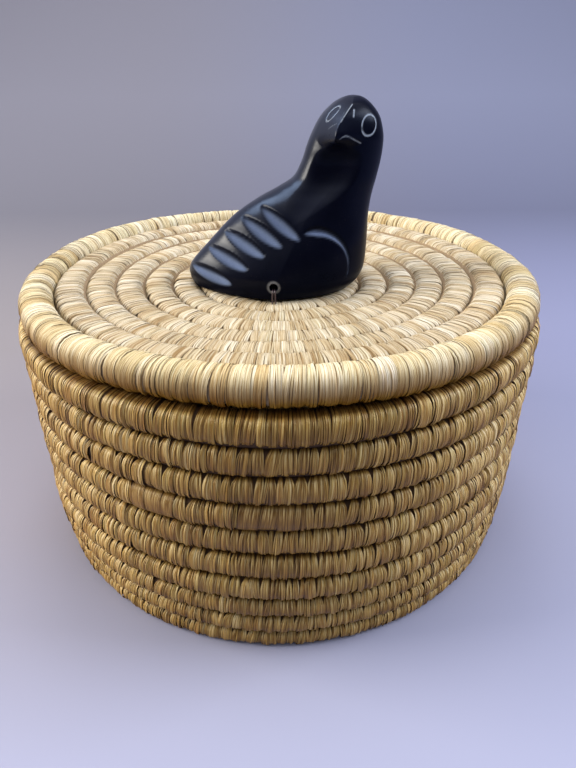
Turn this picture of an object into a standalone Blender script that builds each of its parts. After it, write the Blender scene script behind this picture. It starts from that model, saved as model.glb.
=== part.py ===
"""A coiled grass basket with a dished lid and a carved stone bird tied on as the lid's handle.

Metres, +Z up. The origin is on the floor at the centre of the foot, and the front is towards -Y.
The basket and its lid are coils of grass. A coil runs level round the front and both sides, and
steps on by one course inside a sector at the back, where its two ends are also tapered away.
"""

import math

import bmesh
import bpy
import numpy as np

# Coils in general
SEGMENTS = 24                # straight stretches in one turn
STEP_SHARE = 1.0 / 3.0       # share of a turn in which a coil steps on to its next course
STEP_START = math.radians(30.0)   # angle at which the step begins, so that it lies at the back
COIL_GAP = 0.0006            # between neighbouring courses, where the sewing strand passes
THINNEST_END = 0.12          # a tapered end stops at this share of a course
SEAT_GAP = 0.0003            # between two pieces that rest on each other
SHARP_ANGLE = math.radians(50.0)  # edges that turn by more are shaded sharp

# Wall
WALL_RADIUS = 0.1018         # outside, above the drawn-in foot
WALL_COURSES = 10
COURSE_HEIGHT = 0.0103
FOOT_COURSES = 4             # lowest courses, which get lower and draw in towards the foot
FOOT_COURSE_HEIGHT = 0.0076  # the lowest one
FOOT_DRAW_IN = 0.0032
WALL_THICKNESS = 0.0104

# Floor of the basket
FLOOR_COURSES = 9
FLOOR_THICKNESS = 0.0085
FLOOR_CLEARANCE = 0.0008     # the floor's edge above the table
FLOOR_RISE = 0.0020          # the middle of the floor above its edge

# Lid
LID_RADIUS = 0.1000
LID_COURSES = 8
LID_THICKNESS = 0.0104
LID_DISH = 0.0068            # the middle of the lid below its edge
EDGE_COIL_BREADTH = 0.0119
EDGE_COIL_HEIGHT = 0.0116
EDGE_CREST_DROP = 0.0022     # the lid's outermost crest below the top of the edge coil
FLANGE_BREADTH = 0.0104      # the coil under the lid that keeps it centred in the mouth
FLANGE_HEIGHT = 0.0088
FLANGE_PLAY = 0.0014         # between the flange coil and the wall

# Bird, measured from the middle of its foot, with its tail towards -X
BIRD_PLACE = (0.0, -0.0040)
BIRD_SIDES = 36              # points round each section
BIRD_STEPS = 4               # sections worked out between two carved stations
FACE_TURN = math.radians(-104.0)  # the way the beak points
TAIL_TAPER = 0.32            # how much narrower the body's tail end is than an oval
LEAST_FACING = 0.01          # keeps the throat's flat from being divided by nothing beside it
# Carved stations, foot to crown, in mm: height, tail side, breast side, half width, beak length.
# The last two are shares: how much of the throat is cut away flat, and how far the tail tapers.
BIRD_STATIONS = (
    (0.0, -34.6, 28.8, 21.8, 0.0, 0.00, 1.0),
    (3.2, -35.9, 31.9, 23.0, 0.0, 0.00, 1.0),
    (8.0, -35.2, 33.6, 23.2, 0.0, 0.00, 1.0),
    (16.5, -27.4, 34.1, 21.2, 0.0, 0.00, 0.9),
    (26.0, -17.8, 34.1, 17.6, 0.0, 0.00, 0.7),
    (32.3, -8.6, 34.6, 15.2, 0.0, 0.06, 0.5),
    (36.6, -0.4, 35.4, 13.6, 0.0, 0.14, 0.3),
    (40.4, 5.4, 36.3, 12.8, 0.0, 0.20, 0.1),
    (46.0, 8.5, 37.4, 12.3, 0.0, 0.22, 0.0),
    (51.0, 10.2, 37.9, 12.5, 0.8, 0.12, 0.0),
    (55.4, 12.0, 37.7, 12.7, 6.4, 0.00, 0.0),
    (60.9, 15.1, 36.0, 11.8, 4.4, 0.00, 0.0),
    (65.0, 19.4, 32.6, 8.8, 2.0, 0.00, 0.0),
    (67.0, 23.4, 29.4, 4.4, 0.4, 0.00, 0.0),
    (67.5, 26.2, 26.6, 0.3, 0.0, 0.00, 0.0),
)

# Feather gouges on both flanks, in mm along and above the foot: the uppermost and the lowest one
FEATHERS = 5
FIRST_FEATHER = ((-6.6, 31.6), (7.6, 22.0))
LAST_FEATHER = ((-34.2, 8.8), (-18.2, 4.9))
FEATHER_BOW = 2.2            # how far the middle feather lies above halfway between these two
FEATHER_WIDTH = 5.0
FEATHER_DEPTH = 1.6
# Front edge of each wing: a gouged arc on the flank
WING_CENTRE = (12.4, 11.2)
WING_RADIUS = 13.5
WING_FROM = math.radians(106.0)
WING_TO = math.radians(-42.0)
WING_WIDTH = 3.8
WING_DEPTH = 1.3
GOUGE_STEPS = 10
GOUGE_SIDES = 12
GOUGE_FULLNESS = 0.7         # under 1, a gouge keeps its width for longer before its points
GOUGE_TIP = 0.04             # share of a gouge's length left off at each point of its cutter

# Lashing that ties the bird to the lid
BORE_RADIUS = 0.0015
BORE_PLACE = -0.0023         # along the bird's length
BORE_HEIGHT = 0.0052         # above the bird's foot
THREAD_RADIUS = 0.0005
THREAD_HOLE_RADIUS = 0.0009
THREAD_CORNER = 0.0021
CORNER_STEPS = 4
THREAD_STEPS = 2             # steps in a quarter of the thread's section, so that it has 8 sides
KNOT_RADIUS = 0.0016
KNOT_STRETCH = 1.3           # length of the knot along the thread, against its thickness
THREAD_CLEARANCE = 0.0003
ROUND_SIDES = 12             # sides of a bore, of a thread hole and of the knot

MM = 0.001
HEXAGON = [math.radians(60.0 * side) for side in range(6)]
FLAT = math.sin(math.radians(60.0))
# Two six-sided sections as breadth and depth, from -1 to 1: the first has its flats above and
# below, for courses that lie on each other, and the second has them on its inner and outer side.
STACKED_SECTION = np.array([(math.cos(a), math.sin(a) / FLAT) for a in HEXAGON])
SIDE_BY_SIDE_SECTION = np.array([(math.sin(a) / FLAT, -math.cos(a)) for a in HEXAGON])

COURSE_EDGES = np.cumsum([0.0] + [
    COURSE_HEIGHT - (COURSE_HEIGHT - FOOT_COURSE_HEIGHT) * max(0.0, 1.0 - course / FOOT_COURSES)
    for course in range(WALL_COURSES)])
WALL_TOP = COURSE_EDGES[-1] - COIL_GAP
EDGE_COIL_BOTTOM = WALL_TOP + SEAT_GAP
EDGE_COIL_TOP = EDGE_COIL_BOTTOM + EDGE_COIL_HEIGHT
LID_FIELD_RADIUS = LID_RADIUS - EDGE_COIL_BREADTH - COIL_GAP / 2
MOUTH_RADIUS = WALL_RADIUS - WALL_THICKNESS


def clear_scene():
    for thing in list(bpy.data.objects):
        bpy.data.objects.remove(thing, do_unlink=True)


def material(name, color, roughness):
    """A plain finish for one kind of surface."""
    finish = bpy.data.materials.new(name)
    finish.use_nodes = True
    shader = finish.node_tree.nodes["Principled BSDF"]
    shader.inputs["Base Color"].default_value = (*color, 1.0)
    shader.inputs["Roughness"].default_value = roughness
    shader.inputs["Metallic"].default_value = 0.0
    return finish


def level_at(turns):
    """Courses passed after so many turns: a smooth step of one course at the start of each turn."""
    whole = np.floor(turns)
    step = np.clip((turns - whole) / STEP_SHARE, 0.0, 1.0)
    return whole + step * step * (3.0 - 2.0 * step)


def coil_stations(courses):
    """The angle of each section of a coil, and its two sides counted in courses.

    The coil lies between level - 1 and level. Cutting that band off at 0 and at the last course
    is what tapers both ends, so that the whole coil begins and finishes level.
    """
    turns = np.arange(round(SEGMENTS * (courses + STEP_SHARE)) + 1) / SEGMENTS
    level = level_at(turns)
    near = np.maximum(level - 1.0, 0.0)
    far = np.minimum(level, courses)
    kept = far - near > THINNEST_END
    return STEP_START + math.tau * turns[kept], near[kept], far[kept]


def tube_mesh(name, rings):
    """One body from equal rings of points, with a face over each end."""
    count, sides = rings.shape[:2]
    mesh = bpy.data.meshes.new(name)
    faces = [tuple(range(sides)), tuple(range(count * sides - 1, (count - 1) * sides - 1, -1))]
    for ring in range(count - 1):
        here, there = ring * sides, (ring + 1) * sides
        for side in range(sides):
            after = (side + 1) % sides
            faces.append((here + side, here + after, there + after, there + side))
    mesh.from_pydata(rings.reshape(-1, 3).tolist(), [], faces)
    shape = bmesh.new()
    shape.from_mesh(mesh)
    bmesh.ops.recalc_face_normals(shape, faces=shape.faces)
    shape.to_mesh(mesh)
    shape.free()
    return mesh


def bar_mesh(name, radius, length):
    """A round bar along Z."""
    shape = bmesh.new()
    bmesh.ops.create_cone(shape, cap_ends=True, segments=ROUND_SIDES, radius1=radius,
                          radius2=radius, depth=length)
    mesh = bpy.data.meshes.new(name)
    shape.to_mesh(mesh)
    shape.free()
    return mesh


def ball_mesh(name, radius):
    shape = bmesh.new()
    bmesh.ops.create_uvsphere(shape, u_segments=ROUND_SIDES, v_segments=ROUND_SIDES * 2 // 3,
                              radius=radius)
    mesh = bpy.data.meshes.new(name)
    shape.to_mesh(mesh)
    shape.free()
    return mesh


def add_object(name, mesh, finish):
    thing = bpy.data.objects.new(name, mesh)
    mesh.materials.append(finish)
    mesh.shade_smooth()
    mesh.set_sharp_from_angle(angle=SHARP_ANGLE)
    bpy.context.scene.collection.objects.link(thing)
    return thing


def add_cutter(name, mesh):
    cutter = bpy.data.objects.new(name, mesh)
    cutter.hide_render = True
    cutter.display_type = "WIRE"
    bpy.context.scene.collection.objects.link(cutter)
    return cutter


def change(thing, cutter, operation):
    modifier = thing.modifiers.new(cutter.name, "BOOLEAN")
    modifier.operation = operation
    modifier.object = cutter


def cut(thing, cutter):
    change(thing, cutter, "DIFFERENCE")


def least_gap(rings):
    """The least distance between points of one coil that are at least half a turn apart."""
    points = rings.reshape(len(rings), -1, 3)
    least = math.inf
    for station in range(len(points) - SEGMENTS // 2):
        others = points[station + SEGMENTS // 2:].reshape(-1, 3)
        apart = points[station][:, None, :] - others[None, :, :]
        least = min(least, float(np.sqrt((apart ** 2).sum(axis=2)).min()))
    return least


def add_coil(name, courses, section, place, finish):
    """A coil whose sections stand upright and face the axis.

    place turns the two sides of each section, in courses, into the radius and height of its
    middle and its half breadth and half depth.
    """
    angle, near, far = coil_stations(courses)
    middle, height, half_breadth, half_depth = (value[:, None] for value in place(near, far))
    radius = middle + half_breadth * section[:, 0]
    rings = np.stack([radius * np.cos(angle)[:, None], radius * np.sin(angle)[:, None],
                      height + half_depth * section[:, 1]], axis=2)
    print(f"{name}: {courses} courses, least gap {least_gap(rings) * 1000:.2f} mm")
    return add_object(name, tube_mesh(name, rings), finish)


def tapered(near, far):
    """How much of its full section a coil keeps where an end tapers away."""
    return np.sqrt(np.clip(far - near, 0.0, 1.0))


def wall_place(near, far):
    """Courses that lie on each other, drawn in towards the foot."""
    bottom = np.interp(near, np.arange(WALL_COURSES + 1), COURSE_EDGES)
    top = np.interp(far, np.arange(WALL_COURSES + 1), COURSE_EDGES) - COIL_GAP
    short_of_full = np.clip(1.0 - (near + far) / 2 / FOOT_COURSES, 0.0, 1.0)
    middle = WALL_RADIUS - WALL_THICKNESS / 2 - FOOT_DRAW_IN * short_of_full ** 2
    return middle, (bottom + top) / 2, WALL_THICKNESS / 2 * tapered(near, far), (top - bottom) / 2


def foot_inner_radius():
    """Inner radius of the lowest course, which the floor fits into."""
    middle, _, half_breadth, _ = wall_place(np.array([0.0]), np.array([1.0]))
    return float(middle[0] - half_breadth[0])


def flat_place(inner, outer, courses, thickness, crest):
    """Courses that lie side by side between two radii, with their crests at a given height."""
    pitch = (outer - inner) / courses

    def place(near, far):
        start = inner + near * pitch + COIL_GAP / 2
        end = inner + far * pitch - COIL_GAP / 2
        half_depth = thickness / 2 * tapered(near, far)
        return (start + end) / 2, crest((start + end) / 2) - thickness / 2, (end - start) / 2, half_depth

    return place


def floor_crest(radius):
    rise = FLOOR_RISE * (1.0 - (radius / foot_inner_radius()) ** 2)
    return FLOOR_CLEARANCE + FLOOR_THICKNESS + rise


def lid_crest(radius):
    """Height of the lid's crests, which sink towards the middle as a shallow dish."""
    return EDGE_COIL_TOP - EDGE_CREST_DROP - LID_DISH * (1.0 - (radius / LID_FIELD_RADIUS) ** 2)


def lid_underside(radius):
    return lid_crest(radius) - LID_THICKNESS


def add_basket(grass):
    add_coil("wall_coil", WALL_COURSES, STACKED_SECTION, wall_place, grass)
    floor = flat_place(0.0, foot_inner_radius(), FLOOR_COURSES, FLOOR_THICKNESS, floor_crest)
    add_coil("base_coil", FLOOR_COURSES, SIDE_BY_SIDE_SECTION, floor, grass)


def add_lid(grass, pale_grass):
    field = flat_place(0.0, LID_FIELD_RADIUS, LID_COURSES, LID_THICKNESS, lid_crest)
    lid = add_coil("lid_coil", LID_COURSES, SIDE_BY_SIDE_SECTION, field, pale_grass)
    edge = flat_place(LID_FIELD_RADIUS, LID_RADIUS + COIL_GAP / 2, 1, EDGE_COIL_HEIGHT,
                      lambda radius: np.full_like(radius, EDGE_COIL_TOP))
    add_coil("lid_edge_coil", 1, SIDE_BY_SIDE_SECTION, edge, pale_grass)
    outer = MOUTH_RADIUS - FLANGE_PLAY
    flat_starts = outer - FLANGE_BREADTH * 3 / 4
    top = lid_underside(flat_starts) - SEAT_GAP
    flange = flat_place(outer - FLANGE_BREADTH, outer, 1, FLANGE_HEIGHT,
                        lambda radius: np.full_like(radius, top))
    add_coil("lid_flange_coil", 1, STACKED_SECTION, flange, grass)
    return lid


def bird_seat():
    """Height of the bird's foot: just clear of the highest crest that it covers."""
    foot = BIRD_STATIONS[0]
    reach = math.hypot(max(-foot[1], foot[2]) * MM + abs(BIRD_PLACE[0]), BIRD_PLACE[1])
    return lid_crest(reach) + SEAT_GAP


def smooth_rows(rows, steps):
    """Points on a Catmull-Rom curve through the rows, with the same number of steps in each span."""
    rows = np.asarray(rows)
    padded = np.vstack([2 * rows[0] - rows[1], rows, 2 * rows[-1] - rows[-2]])
    part = np.arange((len(rows) - 1) * steps + 1) / steps
    span = np.minimum(part.astype(int), len(rows) - 2)
    t = (part - span)[:, None]
    before, here, there, after = (padded[span + shift] for shift in range(4))
    return 0.5 * (2 * here + (there - before) * t
                  + (2 * before - 5 * here + 4 * there - after) * t ** 2
                  + (3 * here - before - 3 * there + after) * t ** 3)


STATIONS = smooth_rows(BIRD_STATIONS, BIRD_STEPS)


def bird_surface(stations, around):
    """Points of the bird in mm, at an angle round each of its level sections.

    A section is an oval. Towards the beak its radius is divided by the cosine of the angle that
    is left to the edge of the cheek, which draws two straight lines that touch the oval and meet.
    Where the throat is cut, the radius ends at a flat that faces the same way.
    """
    height, tail, breast, half_width, beak, throat, taper = stations.T[:, :, None]
    narrow = 1.0 + TAIL_TAPER * taper * np.minimum(np.cos(around), 0.0)
    along = (breast - tail) / 2 * np.cos(around)
    across = half_width * np.sin(around) * narrow
    reach = np.hypot(along, across)
    off_beak = np.abs((np.arctan2(across, along) - FACE_TURN + math.pi) % math.tau - math.pi)
    cheek = np.arccos(reach / (reach + np.maximum(beak, 0.0)))
    drawn_out = 1.0 / np.cos(np.maximum(cheek - off_beak, 0.0))
    facing = np.maximum(np.cos(off_beak), LEAST_FACING)
    scale = np.minimum(drawn_out, (1.0 + beak / reach - throat) / facing)
    return np.stack([(breast + tail) / 2 + along * scale, across * scale,
                     np.broadcast_to(height, scale.shape)], axis=2)


def flank_points(along, height, side):
    """Points on one flank at given places along the bird and above its foot, in mm."""
    rows = np.stack([np.interp(height, STATIONS[:, 0], column) for column in STATIONS.T], axis=1)
    middle, half_length = (rows[:, 2] + rows[:, 1]) / 2, (rows[:, 2] - rows[:, 1]) / 2
    around = side * np.arccos(np.clip((along - middle) / half_length, -1.0, 1.0))
    return bird_surface(rows, around[:, None])[:, 0]


def gouge_mesh(name, path, width, depth):
    """A spindle along a path on the surface, as round as a blade that cuts this wide and deep."""
    blade = (width ** 2 / 4 + depth ** 2) / (2 * depth)
    along = np.gradient(path, axis=0)
    along /= np.linalg.norm(along, axis=1)[:, None]
    outward = path - np.array([path[:, 0].mean(), 0.0, path[:, 2].min()])
    outward -= (outward * along).sum(axis=1)[:, None] * along
    outward /= np.linalg.norm(outward, axis=1)[:, None]
    sideways = np.cross(along, outward)
    step = np.linspace(GOUGE_TIP, 1.0 - GOUGE_TIP, len(path))[:, None, None]
    share = np.sin(step * math.pi) ** GOUGE_FULLNESS
    turn = (math.tau * np.arange(GOUGE_SIDES) / GOUGE_SIDES)[None, :, None]
    centre = path[:, None] + (blade - depth) * share * outward[:, None]
    rings = centre + blade * share * (np.cos(turn) * outward[:, None] + np.sin(turn) * sideways[:, None])
    return tube_mesh(name, rings * MM)


def gouge_paths():
    """Each gouge on each flank: its name, its points on the surface, its width and its depth."""
    step = np.linspace(0.0, 1.0, GOUGE_STEPS)[:, None]
    arc = WING_FROM + (WING_TO - WING_FROM) * step[:, 0]
    wing = np.array(WING_CENTRE) + WING_RADIUS * np.stack([np.cos(arc), np.sin(arc)], axis=1)
    for side_name, side in (("front", -1.0), ("back", 1.0)):
        for feather, share in enumerate(np.linspace(0.0, 1.0, FEATHERS)):
            start, end = (np.array(first) * (1 - share) + np.array(last) * share
                          for first, last in zip(FIRST_FEATHER, LAST_FEATHER))
            line = start * (1 - step) + end * step
            line[:, 1] += 4 * share * (1 - share) * FEATHER_BOW
            yield (f"{side_name}_feather_cutter_{feather + 1}", flank_points(line[:, 0], line[:, 1], side),
                   FEATHER_WIDTH, FEATHER_DEPTH)
        yield (f"{side_name}_wing_cutter", flank_points(wing[:, 0], wing[:, 1], side),
               WING_WIDTH, WING_DEPTH)


def add_bird(stone):
    around = math.tau * np.arange(BIRD_SIDES) / BIRD_SIDES
    rings = bird_surface(STATIONS, around) * MM
    bird = add_object("bird", tube_mesh("bird", rings), stone)
    bird.location = (*BIRD_PLACE, bird_seat())
    bore = add_cutter("bore_cutter", bar_mesh("bore_cutter", BORE_RADIUS, 4 * rings[0, :, 1].max()))
    bore.parent = bird
    bore.location = (BORE_PLACE, 0.0, BORE_HEIGHT)
    bore.rotation_euler = (math.pi / 2, 0.0, 0.0)
    cut(bird, bore)
    for name, path, width, depth in gouge_paths():
        gouge = add_cutter(name, gouge_mesh(name, path, width, depth))
        gouge.parent = bird
        cut(bird, gouge)
    return bird


def bird_side_reach():
    """How far the bird's flank stands out from its middle beside the lashing's bore."""
    below_bore = STATIONS[STATIONS[:, 0] < BORE_HEIGHT / MM + THREAD_CORNER / MM]
    return float(below_bore[:, 3].max()) * MM


def lashing_path():
    """A loop in an upright plane: through the bore, down both flanks and across under the lid."""
    side = bird_side_reach() + THREAD_CLEARANCE + THREAD_RADIUS
    top = bird_seat() + BORE_HEIGHT
    bottom = lid_underside(0.0) - THREAD_CLEARANCE - THREAD_RADIUS
    corners = [(side, top, 0.0), (-side, top, math.pi / 2),
               (-side, bottom, math.pi), (side, bottom, 3 * math.pi / 2)]
    points = []
    for y, z, start in corners:
        centre_y = y - math.copysign(THREAD_CORNER, y)
        centre_z = z - math.copysign(THREAD_CORNER, z - (top + bottom) / 2)
        for step in range(CORNER_STEPS + 1):
            angle = start + math.pi / 2 * step / CORNER_STEPS
            points.append((BIRD_PLACE[0] + BORE_PLACE,
                           BIRD_PLACE[1] + centre_y + THREAD_CORNER * math.cos(angle),
                           centre_z + THREAD_CORNER * math.sin(angle)))
    return side, bottom, points


def add_lashing(lid, line):
    side, bottom, points = lashing_path()
    curve = bpy.data.curves.new("bird_lashing", "CURVE")
    curve.dimensions = "3D"
    curve.bevel_depth = THREAD_RADIUS
    curve.bevel_resolution = THREAD_STEPS
    spline = curve.splines.new("POLY")
    spline.points.add(len(points) - 1)
    spline.points.foreach_set("co", [value for point in points for value in (*point, 1.0)])
    spline.use_cyclic_u = True
    loop = bpy.data.objects.new("thread_loop", curve)
    bpy.context.scene.collection.objects.link(loop)
    mesh = bpy.data.meshes.new_from_object(loop)
    bpy.data.objects.remove(loop)
    lashing = add_object("bird_lashing", mesh, line)
    knot = add_cutter("knot_form", ball_mesh("knot_form", KNOT_RADIUS))
    knot.location = (BIRD_PLACE[0] + BORE_PLACE, BIRD_PLACE[1] - side / 2,
                     bottom - KNOT_RADIUS + THREAD_RADIUS)
    knot.scale = (1.0, KNOT_STRETCH, 1.0)
    change(lashing, knot, "UNION")
    for name, way in (("front_hole_cutter", -1.0), ("back_hole_cutter", 1.0)):
        hole = add_cutter(name, bar_mesh(name, THREAD_HOLE_RADIUS, 4 * LID_THICKNESS))
        hole.location = (BIRD_PLACE[0] + BORE_PLACE, BIRD_PLACE[1] + way * side, lid_crest(side))
        cut(lid, hole)
    return lashing


def main():
    clear_scene()
    grass = material("golden_grass", (0.52, 0.36, 0.17), 0.55)
    pale_grass = material("pale_grass", (0.66, 0.52, 0.31), 0.5)
    stone = material("black_soapstone", (0.012, 0.013, 0.016), 0.22)
    line = material("lashing_thread", (0.55, 0.42, 0.38), 0.35)
    add_basket(grass)
    lid = add_lid(grass, pale_grass)
    add_bird(stone)
    add_lashing(lid, line)


main()
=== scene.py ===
"""Looks for a coiled grass basket with a dished lid and a carved black stone bird on top.

Every coil is a dark bundle of grass with strands wrapped round it one by one. The strands lie in
stitches of a few strands each, and a stitch is drawn to a point where the next course is sewn in.
Places and sizes are in metres, and those of the bird and of what is carved on it in mm.
"""

import math
from types import SimpleNamespace

import bpy
import numpy as np
from mathutils import Matrix, Vector


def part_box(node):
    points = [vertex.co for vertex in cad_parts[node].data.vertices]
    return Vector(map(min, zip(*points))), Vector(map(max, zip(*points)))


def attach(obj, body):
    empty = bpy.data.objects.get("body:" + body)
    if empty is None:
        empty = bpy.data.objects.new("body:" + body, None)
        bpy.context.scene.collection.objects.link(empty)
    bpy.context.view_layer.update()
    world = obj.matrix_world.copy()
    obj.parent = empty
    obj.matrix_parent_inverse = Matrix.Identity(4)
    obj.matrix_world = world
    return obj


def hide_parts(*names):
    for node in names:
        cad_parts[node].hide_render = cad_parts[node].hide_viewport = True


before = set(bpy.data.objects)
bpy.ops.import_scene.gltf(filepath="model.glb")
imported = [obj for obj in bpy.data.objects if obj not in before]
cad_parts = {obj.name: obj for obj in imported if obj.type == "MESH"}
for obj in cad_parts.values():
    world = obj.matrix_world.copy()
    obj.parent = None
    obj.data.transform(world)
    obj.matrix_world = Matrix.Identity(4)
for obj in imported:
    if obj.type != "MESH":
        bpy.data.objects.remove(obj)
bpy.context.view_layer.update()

MM = 0.001
TURN = math.tau

_, wall_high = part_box("wall_coil")
edge_low, edge_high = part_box("lid_edge_coil")
flange_low, flange_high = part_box("lid_flange_coil")
bird_low, bird_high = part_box("bird")
thread_low, thread_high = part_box("bird_lashing")

# The way that every coil is laid
STEP_SHARE = 1.0 / 3.0       # share of a turn in which a coil steps on to its next course
STEP_START = math.radians(30.0)
THINNEST_END = 0.12          # share of a full course at which a tapered end stops
COURSE_GAP = 0.6 * MM
STATIONS_IN_COIL = 4000
BUNDLE_STEP = 2.5 * MM
BUNDLE_SIDES = 14
BUNDLE_SUNK = 0.75 * MM      # the bundle's skin below the strands' outer side
BUNDLE_PRESSED = 1.5 * MM    # how far it is pressed into the course before, so no light gets in

# Wall
WALL_RADIUS = wall_high[0]
WALL_COURSES = 10
COURSE_HEIGHT = 10.3 * MM
FOOT_COURSES = 4
FOOT_COURSE_HEIGHT = 7.6 * MM
FOOT_DRAW_IN = 3.2 * MM
WALL_THICKNESS = 10.4 * MM
COURSE_EDGES = np.cumsum([0.0] + [
    COURSE_HEIGHT - (COURSE_HEIGHT - FOOT_COURSE_HEIGHT) * max(0.0, 1.0 - course / FOOT_COURSES)
    for course in range(WALL_COURSES)])

# Floor
FLOOR_COURSES = 9
FLOOR_THICKNESS = 8.5 * MM
FLOOR_CLEARANCE = 0.8 * MM
FLOOR_RISE = 2.0 * MM
FLOOR_RADIUS = WALL_RADIUS - WALL_THICKNESS - FOOT_DRAW_IN * (1.0 - 0.5 / FOOT_COURSES) ** 2

# Lid
LID_RADIUS = edge_high[0]
EDGE_TOP = edge_high[2]
EDGE_HEIGHT = edge_high[2] - edge_low[2]
EDGE_BREADTH = 11.9 * MM
LID_COURSES = 8
LID_FIELD_RADIUS = LID_RADIUS - EDGE_BREADTH - COURSE_GAP / 2
LID_THICKNESS = 10.4 * MM
LID_DISH = 6.8 * MM
EDGE_CREST_DROP = 2.2 * MM
FLANGE_BREADTH = 10.4 * MM
FLANGE_SEWN_IN = 1.6 * MM    # how far sewing draws the top of this coil into the lid's underside

# How the strands lie. Angles go round a coil's section: 0 is outwards and 90 degrees is up.
WALL_ANGLES = (-90, -66, -44, -22, 0, 22, 42, 58, 72, 86, 104, 140, 185, 235)
FIELD_ANGLES = (-30, -6, 10, 22, 36, 54, 74, 94, 114, 134, 154, 178, 210, 260)
EDGE_ANGLES = (-90, -68, -46, -24, -2, 20, 42, 64, 86, 108, 130, 154, 180, 210, 240)
HIDDEN_ANGLES = (-75, -35, 5, 40, 75, 110, 145, 185, 225, 260)

# Strands: how their widths vary, and how far a stitch and one strand of it stand out of line
STRAND_SPREAD = 0.30
NARROWEST, WIDEST = 0.5, 1.9
STITCH_BULGE = 0.25 * MM
STRAND_BULGE = 0.10 * MM
OWN_BULGE, OWN_LEAN = 0.6, 0.35    # a strand's own spread, as a share of its stitch's
OWN_HUE = 0.3                # share of a strand's hue that isn't its stitch's
OVERLAP = 1.25               # strands are up to this much wider than their room
MOST_SAG = 0.5 * MM
POINT_SPREAD = 0.35          # how far a stitch's point strays, as a share of its half width
UNSEWN_PULL = 0.15           # share of the drawing together that is left where nothing is sewn in
NARROWED = 0.4               # how much narrower a strand grows where it is drawn together

# A blade is one broad flat strand in place of a stitch. Tones and hues go from 0 to 1.
BLADE_FILLS = 0.96           # share of its stitch's width
BLADE_CROWN = 0.3            # share of a strand's crown
BLADE_TONE, BLADE_TONE_SPREAD = 0.18, 0.10
BLADE_HUE = 0.72
PALE_TONE, PALE_HUE = 1.4, 0.5

# A knot in the bundle pushes the strands beside it apart round a small eye
KNOT_PARTING = 1.1 * MM
KNOT_SPREAD = 2.4 * MM
KNOT_ANGLE = math.radians(6.0)
KNOT_REACH = math.radians(26.0)

# Painted shade: the wall is darker at the front, most of all at this place on its top course, in turns
SHADIEST_FRONT = 9.667
FRONT_SHADE_BELOW = 0.75           # how much of that the lower courses have

# How a coil is wrapped. Places along a coil are in turns. The other looks start from the wall's.
WALL_LOOK = {
    "angles": WALL_ANGLES,       # where a strand has its points
    "strand": 0.62 * MM,         # the usual width of a strand
    "per_stitch": (2, 5),        # fewest and most strands in a stitch
    "parting": 0.20 * MM,        # most room after a stitch
    "round": 0.76,               # the power that rounds the coil's section
    "wander": 0.35 * MM,         # how far the coil strays from its course
    "plump": 0.10 * MM,          # how much fuller the section is at right angles to the eye
    "unevenness": 0.10 * MM,     # how far stitches stand out or lie back
    "crown": 0.13 * MM,          # how far a strand's sides lie below its middle
    "stitch_crown": 0.26 * MM,   # the same for a stitch
    "tilt": 0.10 * MM,           # how far one side of a strand stands up
    "ripple": 0.06 * MM,         # how far a strand rises and falls on its way round
    "wobble": 0.08 * MM,         # how far it sways
    "lean": 0.30 * MM,           # how far it slants
    "lean_spread": 0.26 * MM,
    "level_angle": 0.0,          # the angle that faces the eye, where a strand is in its place
    "sag": 0.42 * MM,            # how far a stitch hangs loose below
    "notch": 80.0,               # the angle at which a stitch is drawn to a point
    "notch_reach": 50.0,
    "notch_depth": 0.5 * MM,
    "pinch": (0.20, 0.85),       # least and most of this drawing
    "skew": 0.20,                # how far the point lies to one side
    "sewn_angle": -90.0,         # the angle at which the course before is
    "unsewn_from": WALL_COURSES - 1 + STEP_SHARE / 2,    # from here on nothing is sewn in
    "knots": (7.565,),           # places of knots, and stretches of blades and of pale strands
    "blades": ((6.586, 6.612), (6.648, 6.675)),
    "pale": (),
    "own_tone": 0.5,             # share of a strand's tone that isn't its stitch's
    "front_shade_share": 1.0,          # share of the painted shade at the front
}
FIELD_LOOK = {
    **WALL_LOOK, "angles": FIELD_ANGLES, "strand": 0.55 * MM, "per_stitch": (3, 5),
    "parting": 0.12 * MM, "round": 0.66, "plump": 0.45 * MM, "unevenness": 0.05 * MM,
    "crown": 0.09 * MM, "stitch_crown": 0.20 * MM, "tilt": 0.04 * MM, "wobble": 0.10 * MM,
    "lean": 0.0, "lean_spread": 0.28 * MM, "level_angle": 90.0, "sag": 0.0, "notch": 0.0,
    "notch_reach": 54.0, "pinch": (0.4, 0.95), "skew": 0.25, "sewn_angle": 180.0,
    "unsewn_from": LID_COURSES + 1.0, "knots": (), "blades": (),
    "pale": ((6.6285, 6.6325), (5.672, 5.676)), "own_tone": 0.35, "front_shade_share": 0.40,
}
EDGE_LOOK = {
    **WALL_LOOK, "angles": EDGE_ANGLES, "strand": 0.60 * MM, "per_stitch": (4, 9),
    "parting": 0.32 * MM, "round": 0.90, "plump": 0.0, "unevenness": 0.06 * MM,
    "crown": 0.06 * MM, "stitch_crown": 0.24 * MM, "tilt": 0.05 * MM, "wobble": 0.10 * MM,
    "lean": 0.5 * MM, "lean_spread": 0.28 * MM, "level_angle": 60.0, "sag": 0.15 * MM,
    "notch": 200.0, "notch_reach": 60.0, "notch_depth": 0.3 * MM, "pinch": (0.1, 0.4),
    "skew": 0.0, "sewn_angle": 180.0, "unsewn_from": 2.0, "knots": (), "blades": (),
    "own_tone": 0.22, "front_shade_share": 0.15,
}
HIDDEN_LOOK = {
    **WALL_LOOK, "angles": HIDDEN_ANGLES, "strand": 1.15 * MM, "sewn_angle": 180.0,
    "unsewn_from": 0.0, "knots": (), "blades": (), "front_shade_share": 0.0,
}
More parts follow.
